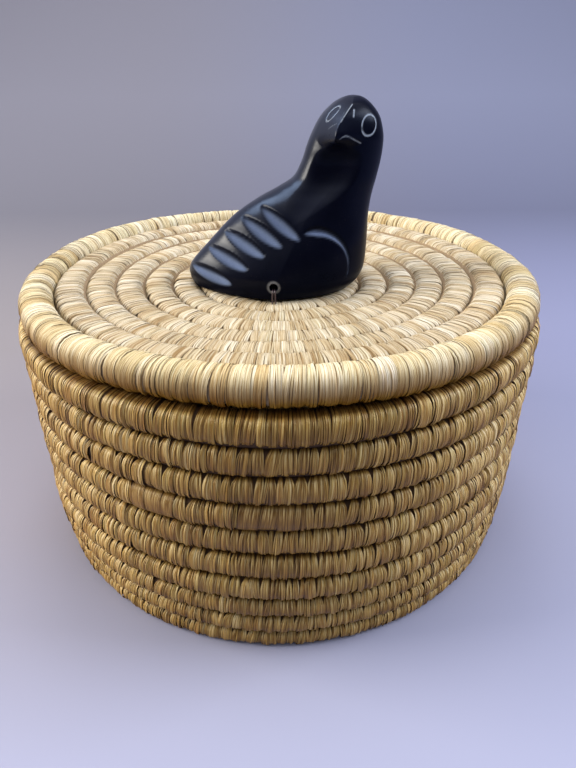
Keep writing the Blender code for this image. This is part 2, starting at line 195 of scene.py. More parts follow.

# Dry grass: its colours by tone; the casts of warm and greenish stitches, of veins and the painted
# shade of a strand's sides, of the painted shade in its notch and on its lower half; and how strongly
# each of its other effects shows, among them the painted shade of the joints and the painted highlight
# on the shoulder
GOLDEN_GRASS = {
    "tones": ((0.10, (0.190, 0.098, 0.024)), (0.32, (0.425, 0.266, 0.076)),
              (0.54, (0.650, 0.448, 0.148)), (0.76, (0.840, 0.640, 0.270)),
              (0.94, (0.985, 0.870, 0.580))),
    "warm": (0.95, 0.74, 0.50), "greenish": (0.82, 0.86, 0.66), "vein_and_side_shade": (0.46, 0.33, 0.19),
    "notch_shade": (0.62, 0.42, 0.24), "below": (0.84, 0.68, 0.38),
    "shaded_below": 0.85, "gloss": 0.45, "streaky": 1.5, "joint_shading": 0.75, "polish_and_highlight": 0.60,
}
PALE_GRASS = {
    "tones": ((0.08, (0.325, 0.214, 0.098)), (0.28, (0.535, 0.422, 0.260)),
              (0.50, (0.655, 0.566, 0.405)), (0.74, (0.745, 0.678, 0.538)),
              (0.94, (0.890, 0.855, 0.745))),
    "warm": (0.97, 0.90, 0.80), "greenish": (0.92, 0.95, 0.88), "vein_and_side_shade": (0.66, 0.54, 0.39),
    "notch_shade": (0.84, 0.73, 0.58), "below": (0.80, 0.66, 0.50),
    "shaded_below": 0.3, "gloss": 0.2, "streaky": 1.5, "joint_shading": 0.0, "polish_and_highlight": 0.0,
}
CREAMY_GRASS = {
    "tones": ((0.06, (0.450, 0.315, 0.140)), (0.26, (0.680, 0.550, 0.305)),
              (0.48, (0.810, 0.710, 0.465)), (0.72, (0.890, 0.825, 0.620)),
              (0.92, (0.945, 0.915, 0.800))),
    "warm": (0.96, 0.83, 0.68), "greenish": (0.91, 0.94, 0.82), "vein_and_side_shade": (0.54, 0.41, 0.25),
    "notch_shade": (0.58, 0.43, 0.28), "below": (0.40, 0.23, 0.04),
    "shaded_below": 1.0, "gloss": 0.20, "streaky": 1.0, "joint_shading": 0.0, "polish_and_highlight": 0.0,
}
# Casts of the painted shade at the front and of the painted shade in the joints between courses
FRONT_SHADE_CAST = (0.63, 0.58, 0.43)
JOINT_SHADE = (0.30, 0.18, 0.09)

# Soapstone: its darkest and lightest; the grey of its painted sheen; and where it is dusty, carved,
# chipped and scratched. The carved blue-grey is partly a painted reflection of the sky, and the
# scratched pale also paints a highlight along the beak's ridge.
STONE_DARK, STONE_LIGHT = (0.0005, 0.0009, 0.0042), (0.0046, 0.0054, 0.0140)
STONE_SHEEN_GREY = (0.066, 0.078, 0.120)
STONE_DUST = (0.060, 0.050, 0.050)
STONE_CARVED_SKYLIT = (0.165, 0.215, 0.350)
STONE_CHIPPED = (0.26, 0.27, 0.30)
STONE_SCRATCH_AND_GLINT = (0.40, 0.46, 0.55)

# Bird, in mm from the middle of its foot, with its tail towards -X
BIRD_X, BIRD_Y = 0.0, -4.0
BIRD_FOOT = np.array([BIRD_X, BIRD_Y, bird_low[2] / MM])
THROAT_TURN = math.radians(-104.0)
FACE_TURN = math.radians(-108.0)
BROW_TURN = math.radians(13.0)    # how far the beak's ridge turns to the breast at the brow
BROW_FROM, BROW_SPAN = 57.5, 8.0
TAIL_TAPER = 0.32            # how much narrower than an oval the tail is
LEAST_FACING = 0.01          # keeps the radius to the throat's flat finite
# Height, tail side, breast side, half width, beak length, throat cut and tail taper
BIRD_STATIONS = (
    (0.0, -34.6, 28.8, 21.8, 0.0, 0.00, 1.0),
    (3.2, -35.9, 31.9, 23.0, 0.0, 0.00, 1.0),
    (8.0, -35.2, 33.6, 23.2, 0.0, 0.00, 1.0),
    (16.5, -27.4, 34.1, 21.2, 0.0, 0.00, 0.9),
    (26.0, -17.8, 34.1, 17.6, 0.0, 0.00, 0.7),
    (32.3, -8.6, 34.6, 15.2, 0.0, 0.06, 0.5),
    (36.6, -0.4, 35.4, 13.6, 0.0, 0.14, 0.3),
    (40.4, 5.4, 36.3, 12.8, 0.0, 0.20, 0.1),
    (46.0, 8.5, 37.4, 12.3, 0.0, 0.22, 0.0),
    (51.0, 10.2, 37.9, 12.5, 0.8, 0.12, 0.0),
    (55.4, 12.0, 37.7, 12.7, 6.4, 0.00, 0.0),
    (60.9, 15.1, 36.0, 11.8, 4.4, 0.00, 0.0),
    (65.0, 19.4, 32.6, 8.8, 2.0, 0.00, 0.0),
    (67.0, 23.4, 29.4, 4.4, 0.4, 0.00, 0.0),
    (67.5, 26.2, 26.6, 0.3, 0.0, 0.00, 0.0),
)
BIRD_SIDES = 400
BIRD_STEPS = 16
THROAT_SOFTNESS = 0.10       # share of the radius over which the throat's edges are rubbed round
FEATHERS = 5
FIRST_FEATHER = ((-6.6, 31.6), (7.6, 22.0))
LAST_FEATHER = ((-34.2, 8.8), (-18.2, 4.9))
FEATHER_BOW = 2.2            # how far the middle feather lies above halfway between these two
FEATHER_WIDTH = 5.0
FEATHER_DEPTH = 1.9
WING_CENTRE = (12.4, 11.2)
WING_RADIUS = 13.5
WING_FROM = math.radians(106.0)
WING_TO = math.radians(-42.0)
WING_WIDTH = 4.2
WING_DEPTH = 1.69
GOUGE_STEPS = 70
THINNEST_GOUGE = 0.1
DULL_DEPTH = 1.3             # a gouge of this depth is as dull as a deeper one
GOUGE_LIGHT_DROP = np.array([0.0, 0.0, -0.8])    # painted light: the pale part of a gouge is shifted into its lower half, which faces up
# Scratched marks on the face, each after how much fainter it is than the clearest one: a ring has a
# middle and two half axes, and a line has points. The lines are cheek, beak's ridge, nostril, brow;
# the line on the beak's ridge is a painted highlight along the ridge.
EYE_RINGS = (
    (0.12, (18.8, -7.9, 62.2), (2.3, 0.4, 2.2), (-0.9, 1.8, 0.5)),
    (0.0, (31.2, -10.5, 58.8), (-0.55, 0.6, 3.2), (2.7, 1.75, -0.5)),
)
FACE_LINES = (
    (0.25, (17.1, -12.0, 57.8), (18.1, -13.2, 58.8), (19.4, -14.6, 59.6)),
    # the beak's ridge: a painted highlight along it
    (0.10, (25.0, -10.3, 65.2), (23.8, -12.2, 64.0), (22.4, -14.2, 62.4), (20.9, -15.9, 60.4)),
    (0.0, (25.6, -11.7, 63.6), (25.4, -13.0, 61.7)),
    (0.35, (23.2, -10.5, 64.4), (22.3, -12.0, 63.3), (21.6, -13.4, 62.2)),
    (0.35, (21.1, -13.8, 61.6), (20.6, -14.8, 60.7)),
)
MOUTH = ((20.6, -17.0, 55.1), (21.6, -16.6, 55.7), (23.0, -15.9, 55.9), (24.7, -14.8, 55.2),
         (26.2, -13.6, 54.3), (28.3, -12.2, 53.2))
MOUTH_FAINT = 0.12
SCRATCH_HALF_WIDTH = 0.31
SCRATCH_DEPTH = 0.16
RUBBED_WAY = np.array([-0.62, -0.15, 0.77])   # the side that hands have polished most
UNRUBBED_REACH = 2.2         # there is less polish up to this many half widths from a gouge
UNRUBBED_SHARE = 0.6
UNRUBBED_DEPTH = 0.3         # and none in a gouge from this depth on
FACE_WAY = np.array([-0.84, -0.53, 0.10])     # the side of the head that gets a painted grey sheen
FACE_FROM, FACE_SPAN = 52.0, 9.0              # the heights over which this painted sheen comes in
FACE_SHEEN = 0.75
BACK_WAY = np.array([-0.80, 0.25, 0.55])      # the back and the tail, which get a painted grey sheen too

# Lashing
BORE_RADIUS = 1.5
BORE_X, BORE_HEIGHT = -2.3, 5.2
CHIPPED_RING = 1.4           # breadth of the pale ring that the drill left round the bore
THREAD_RADIUS = 0.32
THREAD_APART = 0.42          # each of the two threads from the middle of the bore
THREAD_SPREAD = 0.3          # how much further apart they are where they reach the lid
SPREAD_HEIGHT = 6.0          # the height over which they spread
THREAD_CORNER = 1.0
THREAD_SIDES = 8
UNDER_LID = 0.8              # the loop's lower run and the knot below the lid
KNOT_DROP = 0.7
KNOT_SIZES = (0.42, 0.6, 0.55)     # factors of the knot's waves: wide, long and high

# Stage: the sweep's tints, which are painted light and shade, run from its front over its span, along
# the floor and up the back
SWEEP_FRONT = 0.16
SWEEP_SPAN = 1.15
SWEEP_REACH = 1.6
SWEEP_BACK = 0.45            # where the floor starts to bend up
SWEEP_BEND = 0.60

# Soft light from all round: the way to its brightest side, and its least and greatest strength
SKY_WAY = (0.0, 0.20, 0.98)
SKY_LOW = 0.03
SKY_HIGH = 1.15
SKY_SEEN = 0.42              # its strength where the camera looks past the sweep

# Lamps: name, place, aim, size, watts and colour, and whether it lights and is mirrored in polish
LAMP_AIM = (0.0, 0.0, 0.06)
LAMPS = (
    ("back_window", (-0.1, 0.75, 0.85), LAMP_AIM, (0.6, 0.5), 3.2, (1.0, 0.98, 0.96), True, False),
    ("overhead", (0.05, 0.05, 1.3), LAMP_AIM, (0.6, 0.5), 4.4, (1.0, 0.98, 0.97), True, False),
    ("left_window", (-1.0, 0.02, 0.54), LAMP_AIM, (0.6, 0.5), 15.2, (1.0, 0.93, 0.81), True, True),
    ("right_window", (1.0, 0.04, 0.72), LAMP_AIM, (0.6, 0.5), 12.0, (0.90, 0.93, 1.0), True, True),
    ("blue_window", (-0.56, 0.32, 0.87), (0.0, 0.0, 0.12), (0.5, 0.4), 4.4, (0.50, 0.68, 1.0),
     False, True),
)

# Camera: place, axes and lens
CAMERA_PLACE = (0.32 * MM, -229.03 * MM, 179.66 * MM)
CAMERA_RIGHT = (0.99989, -0.01447, -0.00363)
CAMERA_UP = (0.01032, 0.49565, 0.86846)
CAMERA_BACK = (-0.01077, -0.86840, 0.49575)
SENSOR = 36.0
CAMERA_LENS = 577.0 / 768.0 * SENSOR


def level_at(turns):
    """Courses passed: level for most of a turn, with one smooth step in a sector at the back."""
    whole = np.floor(turns)
    step = np.clip((turns - whole) / STEP_SHARE, 0.0, 1.0)
    return whole + step * step * (3.0 - 2.0 * step)


def tapered(near, far):
    return np.sqrt(np.clip(far - near, 0.0, 1.0))


def wall_place(near, far):
    """Middle radius, middle height, half breadth and half depth of a wall course."""
    levels = np.arange(WALL_COURSES + 1)
    bottom = np.interp(near, levels, COURSE_EDGES)
    top = np.interp(far, levels, COURSE_EDGES) - COURSE_GAP
    short_of_full = np.clip(1.0 - (near + far) / 2 / FOOT_COURSES, 0.0, 1.0)
    middle = WALL_RADIUS - WALL_THICKNESS / 2 - FOOT_DRAW_IN * short_of_full ** 2
    return middle, (bottom + top) / 2, WALL_THICKNESS / 2 * tapered(near, far), (top - bottom) / 2


def flat_place(inner, outer, courses, thickness, crest):
    """The same four values for courses that lie side by side, with crests at a given height."""
    pitch = (outer - inner) / courses

    def place(near, far):
        start = inner + near * pitch + COURSE_GAP / 2
        end = inner + far * pitch - COURSE_GAP / 2
        middle = (start + end) / 2
        half_depth = thickness / 2 * tapered(near, far)
        return middle, crest(middle) - thickness / 2, (end - start) / 2, half_depth

    return place


def floor_crest(radius):
    return FLOOR_CLEARANCE + FLOOR_THICKNESS + FLOOR_RISE * (1.0 - (radius / FLOOR_RADIUS) ** 2)


def lid_crest(radius):
    return EDGE_TOP - EDGE_CREST_DROP - LID_DISH * (1.0 - (radius / LID_FIELD_RADIUS) ** 2)


class Coil:
    """One coil as a curve of known length, with a section that changes along it.

    A point is given by its distance along the coil, its angle round the section and its height
    above the skin. The section is a rounded square: breadth and depth go with the cosine and the
    sine to a power under one. The middle of the section wanders by a sum of sines.
    """

    def __init__(self, courses, place, look, rng):
        turns = np.linspace(0.0, courses + STEP_SHARE, STATIONS_IN_COIL)
        level = level_at(turns)
        near = np.maximum(level - 1.0, 0.0)
        far = np.minimum(level, courses)
        kept = far - near > THINNEST_END
        self.turns = turns[kept]
        self.values = np.stack(place(near[kept], far[kept]))
        steps = np.hypot(np.diff(self.turns) * TURN * self.values[0, :-1], np.diff(self.values[0]))
        self.along = np.concatenate([[0.0], np.cumsum(steps)])
        self.length = self.along[-1]
        self.power = look["round"]
        self.wander = look["wander"]
        self.sewn_angle = math.radians(look["sewn_angle"])
        self.waves = rng.uniform(0.0, TURN, (5, 2))

    def turns_at(self, along):
        return np.interp(along, self.along, self.turns)

    def points(self, along, angle, rise):
        turns = self.turns_at(along)
        middle, height, half_breadth, half_depth = (
            np.interp(turns, self.turns, value) for value in self.values)
        across, up = np.cos(angle), np.sin(angle)
        across = np.sign(across) * np.abs(across) ** self.power
        up = np.sign(up) * np.abs(up) ** self.power
        turned = TURN * turns
        for wave, (first, second) in enumerate(self.waves):
            middle = middle + self.wander * np.sin((2.3 * wave + 1.7) * turned + first) / (wave + 2)
            height = height + self.wander * np.sin((1.9 * wave + 2.1) * turned + second) / (wave + 2)
        radius = middle + (half_breadth + rise) * across
        return np.stack([radius * np.cos(STEP_START + turned), radius * np.sin(STEP_START + turned),
                         height + (half_depth + rise) * up], axis=-1)


def grid_quads(rows, columns, close_rows=False, close_columns=False):
    """Corner numbers of the quads of a grid of points, closed on itself where asked."""
    row = np.arange(rows if close_rows else rows - 1)[:, None]
    column = np.arange(columns if close_columns else columns - 1)[None, :]
    next_row, next_column = (row + 1) % rows, (column + 1) % columns
    return np.stack([row * columns + column, row * columns + next_column,
                     next_row * columns + next_column, next_row * columns + column],
                    axis=-1).reshape(-1, 4)


def add_mesh(name, points, quads, caps=()):
    """A smooth object from an array of points, an array of quads and lists of other faces."""
    faces = [quads.reshape(-1, 4)] + [np.asarray(cap).reshape(-1, len(cap[0])) for cap in caps]
    corners = np.concatenate([face.ravel() for face in faces]).astype(np.int32)
    sides = np.concatenate([np.full(len(face), face.shape[1]) for face in faces])
    starts = np.concatenate([[0], np.cumsum(sides)[:-1]]).astype(np.int32)
    mesh = bpy.data.meshes.new(name)
    mesh.vertices.add(len(points))
    mesh.vertices.foreach_set("co", np.ascontiguousarray(points, dtype=np.float32).ravel())
    mesh.loops.add(len(corners))
    mesh.loops.foreach_set("vertex_index", corners)
    mesh.polygons.add(len(starts))
    mesh.polygons.foreach_set("loop_start", starts)
    mesh.polygons.foreach_set("use_smooth", np.ones(len(starts), dtype=bool))
    mesh.update(calc_edges=True)
    piece = bpy.data.objects.new(name, mesh)
    bpy.context.scene.collection.objects.link(piece)
    return piece


def end_caps(count, sides, first_hub):
    """Triangles that close both ends of a tube of rings on two hub points after the rings."""
    side = np.arange(sides)
    after = (side + 1) % sides
    last = (count - 1) * sides
    return np.concatenate([
        np.stack([np.full(sides, first_hub), after, side], axis=1),
        np.stack([np.full(sides, first_hub + 1), last + side, last + after], axis=1)])


def point_values(piece, name, values):
    layer = piece.data.attributes.new(name, "FLOAT", "POINT")
    layer.data.foreach_set("value", np.ascontiguousarray(values, dtype=np.float32).ravel())


def belongs(piece, body, node, finish):
    piece.data.materials.append(finish)
    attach(piece, body)
    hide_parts(node)


def lay_strands(length, rng, look):
    """Strands side by side along a coil: the stitch, the middle and the half width of each.

    Widths and the number of strands in a stitch are drawn at random, and after a stitch comes a
    parting. The whole row is stretched to end where the coil ends.
    """
    most = int(length / look["strand"] * 1.5)
    strands = rng.integers(look["per_stitch"][0], look["per_stitch"][1] + 1, most)
    stitch = np.repeat(np.arange(most), strands)
    width = look["strand"] * rng.lognormal(0.0, STRAND_SPREAD, len(stitch)).clip(NARROWEST, WIDEST)
    ends_stitch = np.append(stitch[1:] != stitch[:-1], True)
    parting = ends_stitch * look["parting"] * rng.uniform(0.0, 1.0, len(stitch)) ** 3
    start = np.concatenate([[0.0], np.cumsum(width + parting)[:-1]])
    kept = stitch < stitch[np.searchsorted(start, length)]
    stretch = length / (start[kept][-1] + width[kept][-1])
    return stitch[kept], (start[kept] + width[kept] / 2) * stretch, width[kept] / 2 * stretch


def within(turns, stretches):
    """Whether each place, in turns, lies in any of the stretches."""
    inside = np.zeros(len(turns), dtype=bool)
    for start, end in stretches:
        inside |= (turns > start) & (turns < end)
    return inside


def draw_strands(coil, rng, look):
    """Place in turns of each strand, and its other values, drawn at random or worked out.

    What a stitch draws is shared by its strands. In a stretch of blades two stitches become one,
    and only its first strand is kept, as wide as the stitch.
    """
    stitch, centre, half = lay_strands(coil.length, rng, look)
    begins = np.append(True, stitch[1:] != stitch[:-1])
    begins &= ~(within(coil.turns_at(centre), look["blades"]) & (stitch % 2 == 1))
    stitch = np.cumsum(begins) - 1
    count, total = stitch[-1] + 1, len(stitch)
    middle = (np.bincount(stitch, centre, count) / np.bincount(stitch, minlength=count))[stitch]
    reach = np.maximum.reduceat(np.abs(centre - middle) + half, np.flatnonzero(begins))[stitch]
    turns = coil.turns_at(middle)
    blade = within(turns, look["blades"])
    pale = within(turns, look["pale"])

    def shade(own):
        """A value from 0 to 1, of which this share is the strand's own and the rest its stitch's."""
        shared = (1.0 - own) * rng.uniform(0.0, 1.0, count)[stitch]
        return shared + own * rng.uniform(0.0, 1.0, total)

    pull = rng.uniform(*look["pinch"], count)[stitch]
    pull = np.where((turns > look["unsewn_from"]) | blade, pull * UNSEWN_PULL, pull)
    target = middle + rng.normal(look["skew"], POINT_SPREAD, count)[stitch] * reach
    uneven = look["unevenness"]
    bulge = rng.normal(0.0, uneven, count).clip(-STITCH_BULGE, STITCH_BULGE)[stitch]
    bulge = bulge + rng.normal(0.0, uneven * OWN_BULGE, total).clip(-STRAND_BULGE, STRAND_BULGE)
    lean = rng.normal(look["lean"], look["lean_spread"], count)[stitch]
    lean = lean + rng.normal(0.0, look["lean_spread"] * OWN_LEAN, total)
    sag = np.abs(rng.normal(0.0, look["sag"], count)).clip(0.0, MOST_SAG)[stitch]
    tone = shade(look["own_tone"])
    hue = shade(OWN_HUE)
    # Painted shade: strands towards the front are darker, most of all on the top course there
    brown = FRONT_SHADE_BELOW + (1.0 - FRONT_SHADE_BELOW) * np.clip(1.0 + turns - SHADIEST_FRONT, 0.0, 1.0)
    brown = look["front_shade_share"] * brown * np.clip(np.cos(TURN * (turns - SHADIEST_FRONT)), 0.0, 1.0) ** 5
    tone = np.where(pale, PALE_TONE, tone)
    tilt = rng.normal(0.0, look["tilt"], total)
    plain_half = half * rng.uniform(1.0, OVERLAP, total)
    sway, swell = rng.uniform(0.0, TURN, (2, total))
    kept = begins | ~blade
    values = {
        "centre": np.where(blade, middle, centre),
        "half": np.where(blade, reach * BLADE_FILLS, plain_half),
        "middle": middle, "reach": reach, "pull": pull, "target": target, "bulge": bulge,
        "lean": lean, "sag": sag, "brown": brown, "sway": sway, "swell": swell,
        "tone": np.where(blade, BLADE_TONE + BLADE_TONE_SPREAD * tone, tone),
        "hue": np.where(blade, BLADE_HUE, np.where(pale, PALE_HUE, hue)),
        "crown": np.where(blade, BLADE_CROWN, 1.0) * look["crown"],
        "tilt": np.where(blade, 0.0, tilt),
    }
    return turns[kept], {name: value[kept][:, None, None] for name, value in values.items()}


def wrap_strands(coil, rng, look):
    """Points and point values of all strands round one coil: strand, angle, then three across.

    A strand is a closed band with a crown and two lower edges, on the skin of the coil. Towards
    the notch, strands are drawn to one point of their stitch, grow narrower and sink in. Their
    slant, sway and swell go with sines of the angle.
    """
    turns, values = draw_strands(coil, rng, look)
    own = SimpleNamespace(**values)
    angle = np.radians(look["angles"])[None, :, None]
    side = np.array([-1.0, 0.0, 1.0])[None, None, :]
    off_notch = np.abs((np.degrees(angle) - look["notch"] + 180.0) % 360.0 - 180.0)
    off_level = angle - math.radians(look["level_angle"])
    below = np.clip(-np.sin(angle), 0.0, 1.0)
    drawn = np.clip(1.0 - off_notch / look["notch_reach"], 0.0, 1.0) ** 1.2 * own.pull
    half = own.half * (1.0 - NARROWED * drawn)
    along = own.centre + (own.target - own.centre) * drawn + side * half
    along = along + own.lean * np.sin(off_level) + look["wobble"] * np.sin(1.5 * angle + own.sway)
    for knot in look["knots"]:
        off_knot = own.centre - np.interp(knot, coil.turns, coil.along)
        parted = np.exp(-(off_knot / KNOT_SPREAD) ** 2 - ((angle - KNOT_ANGLE) / KNOT_REACH) ** 2)
        along = along + np.sign(off_knot) * KNOT_PARTING * parted
    dome = look["stitch_crown"] * ((own.centre - own.middle) / own.reach) ** 2 * (1.0 + 2.0 * below)
    rise = own.bulge - dome - own.crown * side ** 2 - look["notch_depth"] * drawn ** 2
    rise = rise + own.tilt * side + own.sag * below + look["ripple"] * np.sin(2.2 * angle + own.swell)
    rise = rise + look["plump"] * np.abs(np.sin(off_level))
    points = coil.points(np.clip(along, 0.0, coil.length), angle, rise)
    points[..., 2] = np.maximum(points[..., 2], 0.0)
    shown = {"tone": own.tone, "hue": own.hue, "brown": own.brown,
             "across": (own.centre + side * own.half) / MM, "notch": drawn, "round": angle,
             "side": np.abs(side)}
    shape = points.shape[:3]
    return turns, points, {name: np.broadcast_to(value, shape) for name, value in shown.items()}


def sharpen_sides(mesh):
    """Make both side edges of each strand sharp, so that a flat strand isn't shaded as a round one."""
    ends = np.empty(len(mesh.edges) * 2, dtype=np.int32)
    mesh.edges.foreach_get("vertices", ends)
    first, second = (ends.reshape(-1, 2) % 3).T
    layer = mesh.attributes.new("sharp_edge", "BOOLEAN", "EDGE")
    layer.data.foreach_set("value", (first == second) & (first != 1))


def add_strands(name, points, values):
    strands, around = points.shape[:2]
    band = grid_quads(around, 3, close_rows=True, close_columns=True)
    quads = band[None] + (np.arange(strands) * around * 3)[:, None, None]
    piece = add_mesh(name, points.reshape(-1, 3), quads)
    sharpen_sides(piece.data)
    for value_name, value in values.items():
        point_values(piece, value_name, value)
    return piece


def add_bundle(name, coil, courses):
    """The grass bundle under the strands: one tube with closed ends, a little under the skin.

    Where it is sewn to the course before, it stands out by a high power of the cosine.
    """
    count = int(coil.length / BUNDLE_STEP)
    along = np.linspace(0.0, coil.length, count)[:, None]
    angle = (TURN * np.arange(BUNDLE_SIDES) / BUNDLE_SIDES)[None, :]
    sunk = np.minimum(BUNDLE_SUNK, np.interp(along, coil.along, coil.values[3]) / 2)
    sewn = (courses > 1) * np.clip(np.cos(angle - coil.sewn_angle), 0.0, 1.0) ** 6
    rings = coil.points(along, angle, (sunk + BUNDLE_PRESSED) * sewn - sunk)
    rings[..., 2] = np.maximum(rings[..., 2], 0.0)
    hubs = rings[[0, -1]].mean(axis=1)
    return add_mesh(name, np.concatenate([rings.reshape(-1, 3), hubs]),
                    grid_quads(count, BUNDLE_SIDES, close_columns=True),
                    [end_caps(count, BUNDLE_SIDES, count * BUNDLE_SIDES)])


def sew_coil(name, courses, place, look, seed, body, node, strands, bundle, by_course=False):
    """A coil as its bundle and its strands, the strands as one piece or one for each course."""
    rng = np.random.default_rng(seed)
    coil = Coil(courses, place, look, rng)
    belongs(add_bundle(f"{name}_bundle", coil, courses), body, node, bundle)
    turns, points, values = wrap_strands(coil, rng, look)
    if not by_course:
        belongs(add_strands(f"{name}_strands", points, values), body, node, strands)
        return
    course = np.clip(np.floor(turns - STEP_SHARE / 2), 0, courses - 1)
    for number in range(courses):
        here = course == number
        piece = add_strands(f"{name}_strands_{number + 1:02d}", points[here],
                            {key: value[here] for key, value in values.items()})
        belongs(piece, body, node, strands)


class Field:
    """A number socket: arithmetic on it adds Math nodes."""

    def __init__(self, finish, socket):
        self.finish, self.socket = finish, socket

    def math(self, operation, *others):
        sockets = {0: self.socket}
        sockets.update({place + 1: other for place, other in enumerate(others)})
        node = self.finish.node("ShaderNodeMath", {"operation": operation}, sockets)
        return Field(self.finish, node.outputs[0])

    def __add__(self, other):
        return self.math("ADD", other)

    __radd__ = __add__

    def __sub__(self, other):
        return self.math("SUBTRACT", other)

    def __rsub__(self, other):
        return (self * -1.0) + other

    def __mul__(self, other):
        return self.math("MULTIPLY", other)

    __rmul__ = __mul__

    def __truediv__(self, other):
        return self.math("DIVIDE", other)

    def __pow__(self, other):
        return self.math("POWER", other)

    def ramp(self, low, high):
        """0 at low, 1 at high and smooth in between; high may be the lower of the two."""
        node = self.finish.node("ShaderNodeMapRange", {"interpolation_type": "SMOOTHSTEP"},
                                {"Value": self, "From Min": low, "From Max": high})
        return Field(self.finish, node.outputs["Result"])


class Finish:
    """A material under construction, on one Principled shader."""

    def __init__(self, name):
        self.material = bpy.data.materials.new(name)
        self.material.use_nodes = True
        self.tree = self.material.node_tree
        self.shader = self.tree.nodes["Principled BSDF"]

    def node(self, kind, settings, sockets):
        """Any node: its settings first, then the values or links of its sockets."""
        made = self.tree.nodes.new(kind)
        for setting, value in settings.items():
            setattr(made, setting, value)
        for place, value in sockets.items():
            self.feed(made.inputs[place], value)
        return made

    def feed(self, socket, value):
        if isinstance(value, Field):
            value = value.socket
        if isinstance(value, bpy.types.NodeSocket):
            self.tree.links.new(value, socket)
        elif socket.type == "RGBA":
            socket.default_value = (*value, 1.0)
        else:
            socket.default_value = value

    def place(self):
        return self.node("ShaderNodeTexCoord", {}, {}).outputs["Object"]

    def part(self, where, axis):
        """One coordinate of a place as a number."""
        return Field(self, self.node("ShaderNodeSeparateXYZ", {}, {0: where}).outputs[axis])

    def attribute(self, name):
        node = self.node("ShaderNodeAttribute", {"attribute_name": name}, {})
        return Field(self, node.outputs["Fac"])

    def vector(self, x, y, z):
        return self.node("ShaderNodeCombineXYZ", {}, {0: x, 1: y, 2: z}).outputs[0]

    def noise(self, where, scale, detail=2.0, roughness=0.55):
        node = self.node("ShaderNodeTexNoise", {}, {"Vector": where, "Scale": scale,
                                                    "Detail": detail, "Roughness": roughness})
        return Field(self, node.outputs["Fac"])

    def mix(self, share, first, second, way="MIX"):
        node = self.node("ShaderNodeMix", {"data_type": "RGBA", "blend_type": way},
                         {"Factor": share, 6: first, 7: second})
        return node.outputs[2]

    def colors(self, share, stops):
        """A ramp through colours, given as pairs of position and colour."""
        node = self.node("ShaderNodeValToRGB", {}, {"Fac": share})
        ramp = node.color_ramp
        while len(ramp.elements) < len(stops):
            ramp.elements.new(0.5)
        for element, (position, color) in zip(ramp.elements, stops):
            element.position = position
            element.color = (*color, 1.0)
        return node.outputs["Color"]

    def bump(self, height, strength, distance):
        node = self.node("ShaderNodeBump", {}, {"Height": height, "Strength": strength,
                                                "Distance": distance})
        return node.outputs["Normal"]

    def set(self, **values):
        for name, value in values.items():
            self.feed(self.shader.inputs[name.replace("_", " ")], value)
        return self.material


def grass(name, look):
    """Dry grass: a tone for each strand, a cast for each stitch, and fine veins along the strand.

    Painted shade darkens the lower half, a strand's sides, the parts drawn into the notch, the joints
    with the next course and the front; a painted highlight makes the shoulder above the middle pale.
    """
    finish = Finish(name)
    where = finish.place()
    tone, hue = finish.attribute("tone"), finish.attribute("hue")
    across, angle = finish.attribute("across"), finish.attribute("round")
    notch, side = finish.attribute("notch"), finish.attribute("side")
    patch = finish.noise(where, 42.0)
    streak = finish.noise(finish.vector(across * 2.6, angle * 0.45, hue * 7.0), 1.0, 3.0, 0.62)
    vein = finish.noise(finish.vector(across * 7.5, angle * 0.6, tone * 9.0), 1.0)
    share = tone * 0.66 + patch * 0.34 + (streak - 0.5) * look["streaky"] + 0.02
    palest = look["tones"][-1][1]
    # Painted highlight on the shoulder above the middle of the section
    shoulder_highlight = angle.ramp(-0.1, 0.55) * angle.ramp(1.05, 0.75) * streak.ramp(0.44, 0.62)
    # Painted shade next to the joints with the courses above and below
    shaded_joint = angle.ramp(0.98, 1.30) + angle.ramp(-1.05, -1.45)
    color = finish.colors(share, look["tones"])
    for strength, cast, way in (
            (hue.ramp(0.62, 1.0) * 0.55, look["warm"], "MULTIPLY"),
            (hue.ramp(0.38, 0.0) * 0.55, look["greenish"], "MULTIPLY"),
            # painted highlight on the shoulder
            (shoulder_highlight * look["polish_and_highlight"], palest, "MIX"),
            (vein.ramp(0.53, 0.39) * 0.80, look["vein_and_side_shade"], "MULTIPLY"),
            # painted shade where a strand is drawn into the notch
            (notch.ramp(0.2, 0.9) * 0.7, look["notch_shade"], "MULTIPLY"),
            # painted shade along a strand's sides, where it meets its neighbours
            (side.ramp(0.50, 1.0) * 0.70, look["vein_and_side_shade"], "MULTIPLY"),
            # painted shade on the lower half of the section
            (angle.ramp(1.15, -0.45) * look["shaded_below"], look["below"], "MULTIPLY"),
            # painted shade at the front
            (finish.attribute("brown"), FRONT_SHADE_CAST, "MULTIPLY"),
            # painted shade at the joints
            (shaded_joint * look["joint_shading"], JOINT_SHADE, "MULTIPLY")):
        color = finish.mix(strength, color, cast, way)
    relief = finish.bump(vein * 0.6 + streak * 0.6, 0.55, 0.0003)
    return finish.set(Base_Color=color, Roughness=0.30 + (1.0 - streak) * 0.22, Normal=relief,
                      Specular_IOR_Level=look["gloss"], Specular_Tint=(1.0, 0.86, 0.62))


def bundle_finish(name, dark, light):
    """The shaded grass bundle under the strands."""
    finish = Finish(name)
    color = finish.mix(finish.noise(finish.place(), 900.0), dark, light)
    return finish.set(Base_Color=color, Roughness=0.85)


